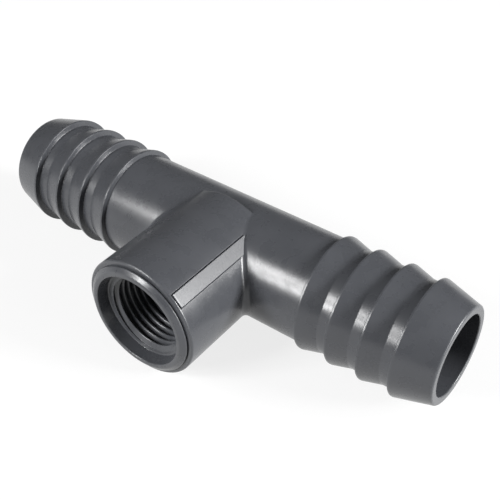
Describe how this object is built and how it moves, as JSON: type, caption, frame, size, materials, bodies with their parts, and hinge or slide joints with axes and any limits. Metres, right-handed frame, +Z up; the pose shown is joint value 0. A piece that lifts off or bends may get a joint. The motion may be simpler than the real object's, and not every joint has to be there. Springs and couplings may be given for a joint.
{
  "type": "barbed pipe tee",
  "caption": "Moulded grey PVC tee for irrigation pipe: a straight run with barbed ends and a side outlet with a female pipe thread.",
  "frame": {"origin": "where the axis of the run and the axis of the outlet cross", "axes": "+X along the run, -Y out of the threaded outlet, +Z up"},
  "size_m": [0.127, 0.0487, 0.0308],
  "materials": {
    "grey_pvc": "semi-gloss moulded PVC, dark grey"
  },
  "bodies": {
    "root": {"run_tube": "grey_pvc", "left_spigot": "grey_pvc", "right_spigot": "grey_pvc", "outlet_boss": "grey_pvc", "label_pad": "grey_pvc", "thread_sleeve": "grey_pvc", "mouth_lip": "grey_pvc"}
  },
  "joints": []
}
